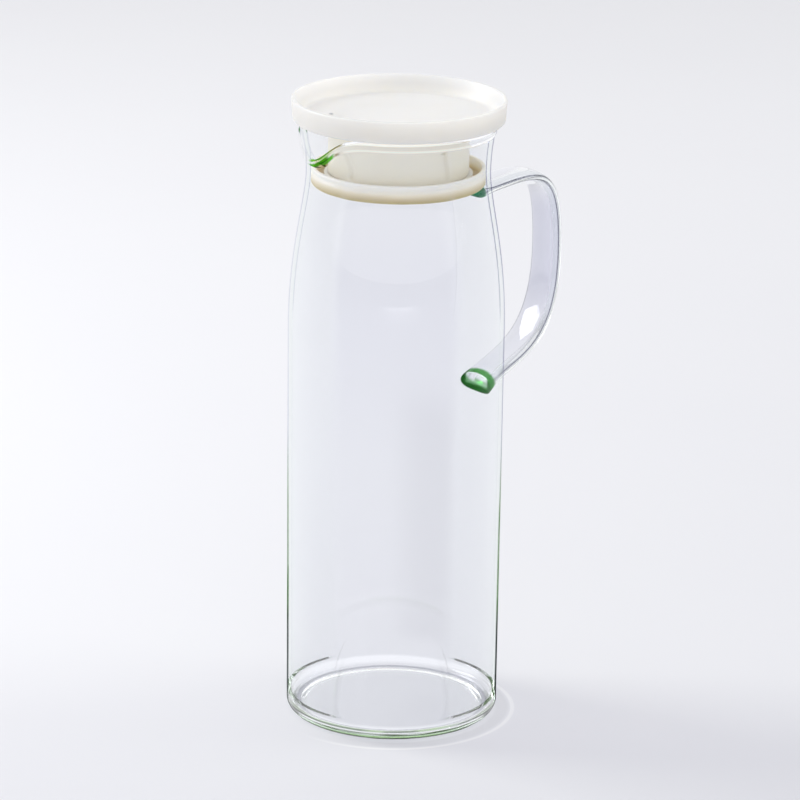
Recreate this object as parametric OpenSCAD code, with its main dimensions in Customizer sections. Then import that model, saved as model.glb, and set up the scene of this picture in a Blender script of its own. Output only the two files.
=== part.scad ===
// Glass water pitcher: a blown jug with a drawn-out pouring lip and an applied strap
// handle, closed by a push-in lid whose plug carries a soft sealing ring.
// The jug stands on z = 0 with its axis on Z. The handle points to +X and the lip to -X.

/* [Glass body] */
// Outside diameter of the body at the foot of the shoulder
body_d = 90; // [84:0.5:110]
// Radius that the body loses from the shoulder down to the base
body_taper = 0.5; // [0:0.1:2]
// Height of the glass rim above the table
glass_h = 255.3; // [235:0.1:290]
// Thickness of the blown wall
wall = 1.8; // [1.2:0.1:2.4]
// Thickness of the base
base_t = 3; // [2:0.1:6]
// Radius of the rounded corner under the body
heel_r = 5; // [3:0.1:8]

/* [Neck and rim] */
// Outside diameter at the narrowest part of the neck
neck_d = 76; // [72:0.5:82]
// How far the narrowest part of the neck lies below the rim
neck_drop = 20.8; // [18:0.1:26]
// Height over which the shoulder narrows from the body to the neck
shoulder_h = 66; // [40:1:90]
// Outside diameter of the flared rim
rim_d = 81.2; // [80:0.1:84]
// Thickness of the fire-polished bead at the rim
bead_t = 2.4; // [1.8:0.1:3.2]
// Height over which the wall thickens into the bead
bead_h = 4; // [2:0.1:6]

/* [Pouring lip] */
// How far the tip of the lip is drawn out past the rim
lip_reach = 5.6; // [2:0.1:9]
// How far the tip of the lip dips below the rim
lip_dip = 9.8; // [4:0.1:12]
// Angle from the middle of the lip to where the wall is round again
lip_half_angle = 38; // [25:1:50]
// How far below the rim the lip starts to leave the neck
lip_drop = 17.3; // [15:0.1:18]

/* [Handle] */
// Width of the glass strap
strap_w = 18; // [12:0.1:22]
// Thickness of the glass strap
strap_t = 4.8; // [3.5:0.1:7]
// Distance from the body's surface to the middle of the grip
grip_reach = 36.6; // [28:0.1:48]
// Height of the furthest point of the grip
grip_z = 190; // [175:1:200]
// Height at which the strap leaves the neck
root_z = 220; // [212:0.5:226]
// Slope at which the strap rises from the neck, in degrees
root_rise = 6; // [0:1:20]
// Height at which the strap meets the body
foot_z = 133; // [115:0.5:145]
// Slope at which the strap climbs from the body, in degrees
foot_rise = 48; // [30:1:55]
// How much the strap swells at each of its two welds
weld_swell = 0.7; // [0:0.1:1.5]
// Distance from the wall over which the weld swells
weld_length = 7; // [4:0.5:12]

/* [Lid] */
// Outside diameter of the lid at its top edge
lid_d = 88.6; // [84:0.1:96]
// Outside diameter of the lid at its underside
lid_foot_d = 87.2; // [83:0.1:92]
// Height of the lid from its underside to its top edge
lid_h = 9.4; // [8:0.1:14]
// Thickness of the floor of the dish
lid_floor_t = 2.2; // [1.5:0.1:3]
// Diameter of the flat floor of the dish
dish_d = 76.5; // [70:0.1:80]
// Thickness of the dish's rim at its top edge
lid_edge_t = 1.5; // [1:0.1:2]
// Radius of the rounded corner under the lid
lid_corner_r = 1.3; // [0.5:0.1:2]
// Outside diameter of the hollow plug
plug_d = 58; // [50:0.5:60]
// Thickness of the plug's wall
plug_wall = 1.8; // [1.4:0.1:2.6]
// Length of the plug below the underside of the lid
plug_l = 27.8; // [24:0.1:32]
// Depth of the groove in the plug that holds the sealing ring
groove_t = 0.7; // [0.4:0.1:1]

/* [Sealing ring] */
// Height of the outer lip of the sealing ring
ring_h = 7.7; // [6:0.1:10]
// Thickness of the outer lip of the sealing ring
ring_lip_t = 1.6; // [1:0.1:2.4]
// Depth of the waist outside, under the edge of the outer lip
ring_waist_t = 0.6; // [0.3:0.1:0.8]
// Height of that waist
ring_waist_h = 2.6; // [1.6:0.1:3.2]
// Thickness of the web between the collar and the outer lip
ring_web_t = 2.2; // [1.4:0.1:3]
// Height of the collar that sits in the plug's groove
collar_h = 5; // [3.5:0.1:6]
// Thickness of the collar
collar_t = 2; // [1.4:0.1:2.6]

/* [Fits] */
// Gap between the glass rim and the lid that rests over it
seat_gap = 0.3; // [0.2:0.05:0.6]
// Gap between the sealing ring and the neck at its narrowest
seal_gap = 0.3; // [0.2:0.05:0.6]
// Gap between the sealing ring's collar and the plug
collar_gap = 0.3; // [0.2:0.05:0.5]

/* [Hidden] */
$fn = 96;

// Radii and heights that follow from the sizes above
body_r = body_d / 2;
base_r = body_r - body_taper;
neck_r = neck_d / 2;
neck_z = glass_h - neck_drop;
body_top_z = neck_z - shoulder_h;
lip_z = glass_h - lip_drop;
inner_heel_r = heel_r - wall;

// Steps in each rounded corner of a turned section
arc_steps = 6;

// Shoulder: how long the curve stays upright at the neck and at the body, as shares of its height
neck_ease_share = 0.2;
body_ease_share = 0.5;
shoulder_steps = 16;

// Flare: the wall's middle line is one arc from the neck to the middle of the bead
neck_mid_r = neck_r - wall / 2;
rim_mid_r = (rim_d - bead_t) / 2;
rim_mid_z = glass_h - bead_t / 2;
flare_out = rim_mid_r - neck_mid_r;
flare_up = rim_mid_z - neck_z;
flare_bend_r = (flare_up * flare_up + flare_out * flare_out) / (2 * flare_out);
flare_steps = 3;

// Lofted neck: sections around the axis, closest together over the lip
lip_sections = 26;
back_sections = 50;
// Steps up each section's wall, and round its bead
wall_steps = 9;
bead_steps = 6;
// The loft's foot lies this far inside both faces of the wall that it grows from
loft_inset = 0.15;
// It starts this far below the top of that wall, and widens this far above it
loft_lap = 0.3;
// The lip leaves the neck slowly and turns out faster towards its tip
lip_ease_power = 1.6;
// The dip is narrower than the pull, which makes the notch of the lip a soft V
dip_power = 3;

// Handle: lengths by which its curve leaves each end and passes the grip
root_lead = 32;
grip_lead_up = 43;
grip_lead_down = 49;
foot_lead = 18;
// Sections along each half of the strap, and points round each section
strap_steps = 26;
strap_sides = 22;
// Fullness of the strap's section: 2 is an ellipse, more is squarer
strap_fullness = 2.15;
// The sweep starts and ends this share of the wall inside the outer face, and is trimmed to it
strap_sink_share = 1.8;
strap_sink = strap_sink_share * wall;
grip_r = body_r + grip_reach;
root_point = [neck_r - strap_sink, root_z];
grip_point = [grip_r, grip_z];
foot_point = [body_r - strap_sink, foot_z];

// Lid: its dish has a small fillet round the floor, which ends where the sloping side begins
lid_z = glass_h + seat_gap;
lid_top_z = lid_z + lid_h;
lid_r = lid_d / 2;
lid_foot_r = lid_foot_d / 2;
dish_z = lid_z + lid_floor_t;
dish_r = dish_d / 2;
dish_fillet_r = 2;
dish_fillet_end = -25;

// Plug: the groove ends above a low lip, and the plug's end is rounded by a share of its wall
plug_r = plug_d / 2;
groove_r = plug_r - groove_t;
plug_bore_r = groove_r - plug_wall;
plug_z = lid_z - plug_l;
plug_lip_h = 0.8;
plug_round_share = 0.33;
plug_round_r = plug_round_share * plug_wall;

// Sealing ring: its collar sits between the plug's lower lip and the top of the groove
ring_z = plug_z + plug_lip_h + collar_gap;
ring_top_z = ring_z + ring_h;
ring_r = neck_r - wall - seal_gap;
collar_r = groove_r + collar_gap;
collar_top_z = ring_z + collar_h;
ring_round_r = ring_lip_t / 2;
ring_corner_r = 1.4;

// Waist of the ring: one arc as deep and as high as the waist, which ends at the lip's rounded edge
waist_bend_r = (pow(ring_waist_h / 2, 2) + pow(ring_waist_t, 2)) / (2 * ring_waist_t);
waist_spread = asin(ring_waist_h / 2 / waist_bend_r);
waist_centre = [ring_r - ring_waist_t + waist_bend_r, ring_top_z - ring_round_r - ring_waist_h / 2];

// Cubic curve through its first and last points
function curve(a, b, c, d, t) =
    pow(1 - t, 3) * a + 3 * pow(1 - t, 2) * t * b + 3 * (1 - t) * pow(t, 2) * c + pow(t, 3) * d;

// Direction of that curve, of length one
function curve_way(a, b, c, d, t) =
    let (v = pow(1 - t, 2) * (b - a) + 2 * (1 - t) * t * (c - b) + pow(t, 2) * (d - c))
    v / norm(v);

// Points of an arc about a centre, from one angle to another
function arc(centre, r, from, to, steps) =
    [for (i = [0:steps]) let (a = from + (to - from) * i / steps) centre + r * [cos(a), sin(a)]];

// Outline of the shoulder from the body up to the neck, moved inwards by an inset
function shoulder(inset) =
    let (
        a = [body_r, body_top_z],
        b = [body_r, body_top_z + body_ease_share * shoulder_h],
        c = [neck_r, neck_z - neck_ease_share * shoulder_h],
        d = [neck_r, neck_z]
    )
    [for (i = [0:shoulder_steps])
        let (t = i / shoulder_steps, way = curve_way(a, b, c, d, t))
        curve(a, b, c, d, t) - inset * [way.y, -way.x]];

// Radius of the wall's middle line at a height in the flare
function flare_r(z) = neck_mid_r + flare_bend_r - sqrt(pow(flare_bend_r, 2) - pow(z - neck_z, 2));

// Outline of the flare from just above the neck to the foot of the lip
function flare(side) =
    [for (i = [1:flare_steps])
        let (z = neck_z + (lip_z - neck_z) * i / flare_steps)
        [flare_r(z) + side * wall / 2, z]];

function reversed(list) = [for (i = [len(list) - 1:-1:0]) list[i]];

// Section of the jug below the lip: the outer face upwards, then the inner face downwards
vessel_section = concat(
    [[0, 0]],
    arc([base_r - heel_r, heel_r], heel_r, -90, 0, arc_steps),
    shoulder(0),
    flare(1),
    reversed(flare(-1)),
    reversed(shoulder(wall)),
    arc([base_r - heel_r, base_t + inner_heel_r], inner_heel_r, 0, -90, arc_steps),
    [[0, base_t]]
);

// Outer shape of the jug as one filled turning, which the handle is trimmed to
vessel_outside = concat(
    [[0, 0]],
    arc([base_r - heel_r, heel_r], heel_r, -90, 0, arc_steps),
    shoulder(0),
    [[0, neck_z]]
);

// Share of the lip's full pull at an angle from its middle
function lip_share(angle) = abs(angle) < lip_half_angle ? pow(cos(90 * angle / lip_half_angle), 2) : 0;

// Middle line of the neck's wall at a share of the way up, for an angle from the lip's middle
function wall_mid(angle, up) =
    let (z = lip_z + (rim_mid_z - lip_z) * up, pull = lip_share(angle))
    [flare_r(z) + lip_reach * pull * pow(up, lip_ease_power), z - lip_dip * pow(pull, dip_power) * up];

// Direction of that middle line
function wall_way(angle, up) =
    let (step = 1 / wall_steps / 8, v = wall_mid(angle, up + step) - wall_mid(angle, max(0, up - step)))
    v / norm(v);

// Half of the wall's thickness, which grows into the bead
function wall_half(up) =
    let (below = (1 - up) * (rim_mid_z - lip_z), share = max(0, 1 - below / bead_h))
    (wall + (bead_t - wall) * share * share * (3 - 2 * share)) / 2;

// Foot of the loft on its outer or inner side, at a height above the top of the turned wall
function loft_foot(side, rise) =
    let (z = lip_z + rise)
    [flare_r(z) + side * (wall / 2 - loft_inset), z];

// Closed section of the lofted neck: outer face, round bead, inner face
function neck_section(angle) = concat(
    [loft_foot(1, -loft_lap), loft_foot(1, loft_lap)],
    [for (i = [1:wall_steps])
        let (up = i / wall_steps, way = wall_way(angle, up))
        wall_mid(angle, up) + wall_half(up) * [way.y, -way.x]],
    [for (i = [1:bead_steps - 1])
        let (a = 180 * i / bead_steps, way = wall_way(angle, 1))
        wall_mid(angle, 1) + wall_half(1) * (cos(a) * [way.y, -way.x] + sin(a) * way)],
    [for (i = [wall_steps:-1:1])
        let (up = i / wall_steps, way = wall_way(angle, up))
        wall_mid(angle, up) - wall_half(up) * [way.y, -way.x]],
    [loft_foot(-1, loft_lap), loft_foot(-1, -loft_lap)]
);

// Angles of the sections, measured from the middle of the lip
lip_angles = [for (i = [0:lip_sections - 1]) lip_half_angle * (2 * i / lip_sections - 1)];
back_angles = [for (i = [0:back_sections - 1])
    lip_half_angle + (360 - 2 * lip_half_angle) * i / back_sections];
neck_angles = concat(lip_angles, back_angles);

// Triangles that join closed rings of points one after another, round to the first again
function ring_of_rings(rings, points) =
    [for (i = [0:rings - 1], j = [0:points - 1])
        let (k = (i + 1) % rings, l = (j + 1) % points,
            a = i * points + j, b = k * points + j, c = k * points + l, d = i * points + l)
        each [[a, c, b], [a, d, c]]];

module lofted_neck() {
    sections = [for (angle = neck_angles) neck_section(angle)];
    points = [for (i = [0:len(neck_angles) - 1], p = sections[i])
        let (a = 180 + neck_angles[i])
        [p.x * cos(a), p.x * sin(a), p.y]];
    polyhedron(points, ring_of_rings(len(neck_angles), len(sections[0])), convexity = 8);
}

module glass_vessel() {
    color([0.86, 0.9, 0.92, 0.45])
    union() {
        rotate_extrude() polygon(vessel_section);
        lofted_neck();
    }
}

// Middle line of the strap, from the neck out to the grip and down to the body
root_way = [cos(root_rise), sin(root_rise)];
foot_way = [cos(foot_rise), sin(foot_rise)];

function strap_upper(t, f) = let (
        b = root_point + root_lead * root_way,
        c = grip_point + [0, grip_lead_up]
    ) f == 0 ? curve(root_point, b, c, grip_point, t) : curve_way(root_point, b, c, grip_point, t);

function strap_lower(t, f) = let (
        b = grip_point - [0, grip_lead_down],
        c = foot_point + foot_lead * foot_way
    ) f == 0 ? curve(grip_point, b, c, foot_point, t) : curve_way(grip_point, b, c, foot_point, t);

strap_line = concat(
    [for (i = [0:strap_steps]) strap_upper(i / strap_steps, 0)],
    [for (i = [1:strap_steps]) strap_lower(i / strap_steps, 0)]
);
strap_ways = concat(
    [for (i = [0:strap_steps]) strap_upper(i / strap_steps, 1)],
    [for (i = [1:strap_steps]) strap_lower(i / strap_steps, 1)]
);

// How much of the weld's swelling a point of the strap has, by its distance from the wall
function weld_share(i) =
    let (wall_r = i <= strap_steps ? neck_r + wall : body_r,
        share = min(1, max(0, 1 - (strap_line[i].x - wall_r) / weld_length)))
    share * share;

function fuller(v) = sign(v) * pow(abs(v), 2 / strap_fullness);

// One closed section of the strap, square to its middle line
function strap_ring(i) =
    let (p = strap_line[i], way = strap_ways[i], swell = weld_swell * weld_share(i))
    [for (k = [0:strap_sides - 1])
        let (a = 360 * k / strap_sides,
            up = (strap_t / 2 + swell) * fuller(sin(a)),
            across = (strap_w / 2 + swell) * fuller(cos(a)))
        [p.x - way.y * up, across, p.y + way.x * up]];

module strap_sweep() {
    rings = len(strap_line);
    points = [for (i = [0:rings - 1]) each strap_ring(i)];
    sides = [for (i = [0:rings - 2], j = [0:strap_sides - 1])
        let (l = (j + 1) % strap_sides,
            a = i * strap_sides + j, b = a + strap_sides,
            c = (i + 1) * strap_sides + l, d = i * strap_sides + l)
        each [[a, b, c], [a, c, d]]];
    first = [for (j = [0:strap_sides - 1]) j];
    last = [for (j = [strap_sides - 1:-1:0]) (rings - 1) * strap_sides + j];
    polyhedron(points, concat(sides, [first], [last]), convexity = 6);
}

module glass_handle() {
    color([0.84, 0.89, 0.91, 0.6])
    difference() {
        strap_sweep();
        rotate_extrude() polygon(vessel_outside);
    }
}

// Half section of the lid's dish, from the middle of its underside round its rim to its floor
dish_section = concat(
    [[0, lid_z]],
    arc([lid_foot_r - lid_corner_r, lid_z + lid_corner_r], lid_corner_r, -90, 0, arc_steps),
    arc([lid_r - lid_edge_t / 2, lid_top_z - lid_edge_t / 2], lid_edge_t / 2, 0, 180, arc_steps),
    arc([dish_r, dish_z + dish_fillet_r], dish_fillet_r, dish_fillet_end, -90, arc_steps),
    [[0, dish_z]]
);

// Half section of the plug's wall, with the groove for the sealing ring above its lower lip
plug_section = concat(
    [[plug_r, dish_z - lid_floor_t / 2], [plug_r, collar_top_z + collar_gap]],
    [[groove_r, collar_top_z + collar_gap], [groove_r, plug_z + plug_lip_h]],
    [[plug_r, plug_z + plug_lip_h]],
    arc([plug_r - plug_round_r, plug_z + plug_round_r], plug_round_r, 0, -90, arc_steps),
    [[plug_bore_r, plug_z]],
    [[plug_bore_r, dish_z - lid_floor_t / 2]]
);

module lid() {
    color([0.95, 0.95, 0.94])
    union() {
        rotate_extrude() polygon(dish_section);
        rotate_extrude() polygon(plug_section);
    }
}

// Half section of the sealing ring: collar, web and waisted outer lip, open at the top
ring_section = concat(
    [[collar_r, ring_z], [ring_r - ring_corner_r, ring_z]],
    arc([ring_r - ring_corner_r, ring_z + ring_corner_r], ring_corner_r, -90, 0, arc_steps),
    arc(waist_centre, waist_bend_r, 180 + waist_spread, 180 - waist_spread, arc_steps),
    arc([ring_r - ring_round_r, ring_top_z - ring_round_r], ring_round_r,
        180 / arc_steps, 180, arc_steps - 1),
    [[ring_r - ring_lip_t, ring_z + ring_web_t]],
    [[collar_r + collar_t, ring_z + ring_web_t]],
    [[collar_r + collar_t, collar_top_z], [collar_r, collar_top_z]]
);

module gasket() {
    color([0.9, 0.89, 0.82])
    rotate_extrude() polygon(ring_section);
}

glass_vessel();
glass_handle();
lid();
gasket();
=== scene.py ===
"""Glass water pitcher: the visible pieces, their finishes and the studio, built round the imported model.

Lengths are metres. The jug stands on z = 0 with its axis on Z, its handle towards +X and its
pouring lip towards -X. Heights and radii that two pieces share come from the frame.
"""

import logging
import math
from dataclasses import dataclass
from enum import Enum
from typing import Any, Callable, Sequence

import bmesh
import bpy
from mathutils import Matrix, Vector


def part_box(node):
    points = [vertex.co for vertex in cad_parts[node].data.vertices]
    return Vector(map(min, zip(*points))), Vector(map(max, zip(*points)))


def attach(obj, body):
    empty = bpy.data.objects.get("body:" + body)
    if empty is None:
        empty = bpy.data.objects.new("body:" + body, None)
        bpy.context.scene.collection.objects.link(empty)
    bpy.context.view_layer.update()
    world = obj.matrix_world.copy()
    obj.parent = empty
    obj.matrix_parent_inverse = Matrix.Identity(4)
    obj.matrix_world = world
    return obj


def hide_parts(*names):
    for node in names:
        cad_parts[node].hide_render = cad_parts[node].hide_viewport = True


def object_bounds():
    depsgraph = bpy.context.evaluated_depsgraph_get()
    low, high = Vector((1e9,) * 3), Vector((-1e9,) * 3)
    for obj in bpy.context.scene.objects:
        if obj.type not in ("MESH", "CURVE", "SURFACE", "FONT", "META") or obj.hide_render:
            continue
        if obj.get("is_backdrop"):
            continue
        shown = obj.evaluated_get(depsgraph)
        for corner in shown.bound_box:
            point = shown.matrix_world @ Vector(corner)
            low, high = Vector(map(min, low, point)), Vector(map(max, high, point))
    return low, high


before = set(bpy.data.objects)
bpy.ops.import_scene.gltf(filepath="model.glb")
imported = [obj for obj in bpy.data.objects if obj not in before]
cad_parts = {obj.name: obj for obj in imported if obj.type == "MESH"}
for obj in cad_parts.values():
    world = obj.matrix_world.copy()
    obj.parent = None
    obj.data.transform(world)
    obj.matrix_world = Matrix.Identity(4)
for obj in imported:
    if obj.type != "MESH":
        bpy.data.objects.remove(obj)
CAD_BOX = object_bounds()

LOG = logging.getLogger("pitcher")
MM = 0.001

Point = tuple[float, float]
Colour = tuple[float, float, float]
Socket = bpy.types.NodeSocket

WHITE = (1.0, 1.0, 1.0)
BLACK = (0.0, 0.0, 0.0)


class Body(Enum):
    """The bodies of the frame that pieces ride on."""

    VESSEL = "vessel"
    GASKET = "gasket"
    LID = "lid"


class Slot(Enum):
    """The material slots of the record."""

    VESSEL_GLASS = "vessel_glass"
    HANDLE_GLASS = "handle_glass"
    LID_PLASTIC = "lid_plastic"
    RING_SILICONE = "ring_silicone"


class Node(Enum):
    """The solids of the frame that the scene's own pieces stand for."""

    VESSEL = "glass_vessel"
    HANDLE = "glass_handle"
    LID = "lid"
    GASKET = "gasket"


class Side(Enum):
    """The two faces of a wall, as a sign along its normal."""

    OUTER = 1
    INNER = -1


@dataclass(frozen=True)
class Corner:
    """A corner of a turned outline.

    Attributes:
        r: Distance from the axis.
        z: Height.
        bend: Radius of the fillet at the corner, or zero where it is sharp.
    """

    r: float
    z: float
    bend: float = 0.0


def arc(centre: Point, radius: float, start: float, end: float, steps: int) -> list[Point]:
    """Points of an arc in the plane of a section.

    Args:
        centre: The arc's centre.
        radius: Its radius.
        start: The angle that it starts at, in degrees.
        end: The angle that it ends at, in degrees.
        steps: How many steps it is divided into.

    Returns:
        The points from start to end, both included.
    """
    angles = [math.radians(start + (end - start) * i / steps) for i in range(steps + 1)]
    return [(centre[0] + radius * math.cos(a), centre[1] + radius * math.sin(a)) for a in angles]


def rounded(corners: Sequence[Corner], steps: int) -> list[Point]:
    """An open outline with its corners filleted.

    Args:
        corners: The outline's corners, in order.
        steps: How many steps each fillet has.

    Returns:
        The outline's points.
    """
    points = [(corners[0].r, corners[0].z)]
    for before, here, after in zip(corners, corners[1:], corners[2:]):
        place = Vector((here.r, here.z))
        back = (Vector((before.r, before.z)) - place).normalized()
        on = (Vector((after.r, after.z)) - place).normalized()
        half = back.angle(on) / 2
        if here.bend == 0 or half > math.radians(89):
            points.append((here.r, here.z))
            continue
        centre = place + (back + on).normalized() * here.bend / math.sin(half)
        start = place + back * here.bend / math.tan(half) - centre
        end = place + on * here.bend / math.tan(half) - centre
        turn = start.angle_signed(end)
        for i in range(steps + 1):
            spoke = Matrix.Rotation(-turn * i / steps, 2) @ start
            points.append((centre.x + spoke.x, centre.y + spoke.y))
    points.append((corners[-1].r, corners[-1].z))
    return points


def refined(points: Sequence[Point], longest: float) -> list[Point]:
    """The same outline with its long stretches divided, so that smooth shading stays true.

    Args:
        points: The outline's points.
        longest: The greatest length that a stretch may have.

    Returns:
        The outline's points with more between them.
    """
    result = [points[0]]
    for (r0, z0), (r1, z1) in zip(points, points[1:]):
        parts = max(1, math.ceil(math.hypot(r1 - r0, z1 - z0) / longest))
        result += [(r0 + (r1 - r0) * i / parts, z0 + (z1 - z0) * i / parts) for i in range(1, parts + 1)]
    return result


def cubic(ends: Sequence[Point], t: float) -> Vector:
    """A point of a cubic curve.

    Args:
        ends: Its four control points.
        t: How far along the curve the point is, from 0 to 1.

    Returns:
        The point as a two-dimensional vector.
    """
    a, b, c, d = (Vector(p) for p in ends)
    u = 1 - t
    return u**3 * a + 3 * u * u * t * b + 3 * u * t * t * c + t**3 * d


def cubic_way(ends: Sequence[Point], t: float) -> Vector:
    """The direction of a cubic curve at a point, of length one.

    Args:
        ends: Its four control points.
        t: How far along the curve the point is, from 0 to 1.

    Returns:
        The direction as a two-dimensional vector.
    """
    a, b, c, d = (Vector(p) for p in ends)
    u = 1 - t
    return (u * u * (b - a) + 2 * u * t * (c - b) + t * t * (d - c)).normalized()


def radius_at(outline: Sequence[Point], z: float) -> float:
    """Radius of a rising outline at a height.

    Args:
        outline: Points whose heights rise from first to last.
        z: The height.

    Returns:
        The radius, taken between the two nearest points.
    """
    for (r0, z0), (r1, z1) in zip(outline, outline[1:]):
        if z0 <= z <= z1 and z1 > z0:
            return r0 + (r1 - r0) * (z - z0) / (z1 - z0)
    return outline[-1][0] if z > outline[-1][1] else outline[0][0]


def smoothstep(value: float) -> float:
    """A value from 0 to 1 eased at both ends, and held at them outside."""
    v = min(1.0, max(0.0, value))
    return v * v * (3 - 2 * v)


def new_piece(name: str, points: Sequence[Vector], faces: Sequence[Sequence[int]]) -> bpy.types.Object:
    """A smooth closed mesh object with its normals outward.

    Args:
        name: The piece's name.
        points: Its points.
        faces: Its faces, as indices into the points.

    Returns:
        The object, linked to the scene.
    """
    mesh = bpy.data.meshes.new(name)
    mesh.from_pydata([tuple(p) for p in points], [], [tuple(f) for f in faces])
    bm = bmesh.new()
    bm.from_mesh(mesh)
    bmesh.ops.recalc_face_normals(bm, faces=bm.faces)
    if bm.calc_volume(signed=True) < 0:
        bmesh.ops.reverse_faces(bm, faces=bm.faces)
    bm.to_mesh(mesh)
    bm.free()
    for polygon in mesh.polygons:
        polygon.use_smooth = True
    obj = bpy.data.objects.new(name, mesh)
    bpy.context.scene.collection.objects.link(obj)
    return obj


def turned(name: str, section_at: Callable[[float], Sequence[Point]], segments: int) -> bpy.types.Object:
    """A piece turned about the Z axis, whose section may change with the angle.

    A section whose first and last points lie on the axis is closed by a pole at each end. Any
    other section is closed by joining its last point to its first.

    Args:
        name: The piece's name.
        section_at: Gives the section's points at an angle about the axis, in radians.
        segments: How many sections there are round the axis.

    Returns:
        The new object.
    """
    sections = [section_at(2 * math.pi * i / segments) for i in range(segments)]
    on_axis = sections[0][0][0] == 0 and sections[0][-1][0] == 0
    rows = [s[1:-1] if on_axis else s for s in sections]
    count = len(rows[0])
    points: list[Vector] = []
    for i, row in enumerate(rows):
        a = 2 * math.pi * i / segments
        points += [Vector((r * math.cos(a), r * math.sin(a), z)) for r, z in row]
    faces: list[tuple[int, ...]] = []
    for i in range(segments):
        here, there = i * count, (i + 1) % segments * count
        for j in range(count - 1 if on_axis else count):
            k = (j + 1) % count
            faces.append((here + j, there + j, there + k, here + k))
    if on_axis:
        for end, row_end in ((0, 0), (-1, count - 1)):
            points.append(Vector((0, 0, sections[0][end][1])))
            pole = len(points) - 1
            starts = [(i * count, (i + 1) % segments * count) for i in range(segments)]
            faces += [(pole, here + row_end, there + row_end) for here, there in starts]
    return new_piece(name, points, faces)


class Graph:
    """A node tree that is filled by short calls."""

    def __init__(self, tree: bpy.types.NodeTree) -> None:
        """Takes the tree that the calls fill."""
        self.tree = tree

    def add(self, kind: str, values: dict[str, Any] | None = None, **settings: Any) -> bpy.types.Node:
        """Adds a node.

        Args:
            kind: The node's type name without the word ShaderNode.
            values: Values for its inputs by name, or sockets to link to them.
            **settings: Values for the node's own properties.

        Returns:
            The node.
        """
        node = self.tree.nodes.new("ShaderNode" + kind)
        for key, value in settings.items():
            setattr(node, key, value)
        for key, value in (values or {}).items():
            socket = node.inputs[int(key)] if key.isdigit() else node.inputs[key]
            if isinstance(value, Socket):
                self.tree.links.new(value, socket)
            elif socket.type == "RGBA":
                socket.default_value = (*value[:3], 1.0)
            else:
                socket.default_value = value
        return node

    def maths(self, operation: str, first: Any, second: Any = 0.0, clamp: bool = False) -> Socket:
        """The output of a Math node.

        Args:
            operation: The node's operation.
            first: Its first value or socket.
            second: Its second value or socket.
            clamp: Whether the result is held between 0 and 1.

        Returns:
            The output socket.
        """
        return self.add("Math", {"0": first, "1": second}, operation=operation, use_clamp=clamp).outputs[0]

    def times(self, first: Any, *others: Any) -> Any:
        """The product of several values or sockets.

        Args:
            first: The first factor.
            *others: The other factors, in order.

        Returns:
            The product's socket.
        """
        for other in others:
            first = self.maths("MULTIPLY", first, other)
        return first

    def place(self) -> Socket:
        """The place on the object."""
        return self.add("TexCoord").outputs["Object"]

    def parts(self) -> Any:
        """The sockets of the place's X, Y and Z."""
        return self.add("SeparateXYZ", {"0": self.place()}).outputs

    def along(self, way: Colour) -> Socket:
        """How far the place lies along a direction."""
        return self.add("VectorMath", {"0": self.place(), "1": way}, operation="DOT_PRODUCT").outputs["Value"]

    def radius(self) -> Socket:
        """The place's distance from the Z axis."""
        flat = self.add("VectorMath", {"0": self.place(), "1": (1.0, 1.0, 0.0)}, operation="MULTIPLY")
        return self.add("VectorMath", {"0": flat.outputs[0]}, operation="LENGTH").outputs["Value"]

    def blend(self, share: Any, first: Any, second: Any, blend_type: str = "MIX") -> Socket:
        """The output of a colour Mix node.

        Args:
            share: How much of the second colour shows, as a value or socket.
            first: The first colour or socket.
            second: The second colour or socket.
            blend_type: The way that the two are mixed.

        Returns:
            The output socket.
        """
        node = self.add("Mix", data_type="RGBA", blend_type=blend_type)
        for index, value in ((0, share), (6, first), (7, second)):
            if isinstance(value, Socket):
                self.tree.links.new(value, node.inputs[index])
            else:
                node.inputs[index].default_value = value if index == 0 else (*value, 1.0)
        return node.outputs[2]

    def dyed(self, colour: Any, tint: Any) -> Socket:
        """A colour multiplied by a tint."""
        return self.blend(1.0, colour, tint, "MULTIPLY")

    def ramp(self, value: Any, low: float, high: float) -> Socket:
        """A value spread smoothly from 0 at low to 1 at high.

        Args:
            value: The socket that is spread.
            low: Where the result starts to rise.
            high: Where it is full.

        Returns:
            The output socket.
        """
        node = self.add("MapRange", {"Value": value, "From Min": low, "From Max": high})
        node.interpolation_type = "SMOOTHSTEP"
        return node.outputs["Result"]

    def band(self, value: Any, middle: float, half: float) -> Socket:
        """A value spread smoothly from 1 at a middle to 0 at a distance to either side.

        Args:
            value: The socket that is spread.
            middle: Where the result is 1.
            half: The distance over which it falls to 0.

        Returns:
            The output socket.
        """
        off = self.maths("ABSOLUTE", self.maths("SUBTRACT", value, middle))
        return self.ramp(off, half, half * 0.4)

    def lay(self, mask: Any, most: float, colour: Any, share: Any, under: Any) -> tuple[Any, Any]:
        """Lays a coloured mark over a share and its colour.

        Args:
            mask: Where the mark is.
            most: The share that it has where the mask is full.
            colour: The mark's colour.
            share: The share under it.
            under: The colour under it.

        Returns:
            The new share and colour.
        """
        laid = self.maths("MAXIMUM", share, self.maths("MULTIPLY", mask, most))
        return laid, self.blend(mask, under, colour)


def new_material(name: str) -> tuple[bpy.types.Material, Graph]:
    """An empty node material with its output.

    Args:
        name: The material's name.

    Returns:
        The material, and its tree wrapped for building.
    """
    material = bpy.data.materials.new(name)
    material.use_nodes = True
    material.node_tree.nodes.clear()
    return material, Graph(material.node_tree)


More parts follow.
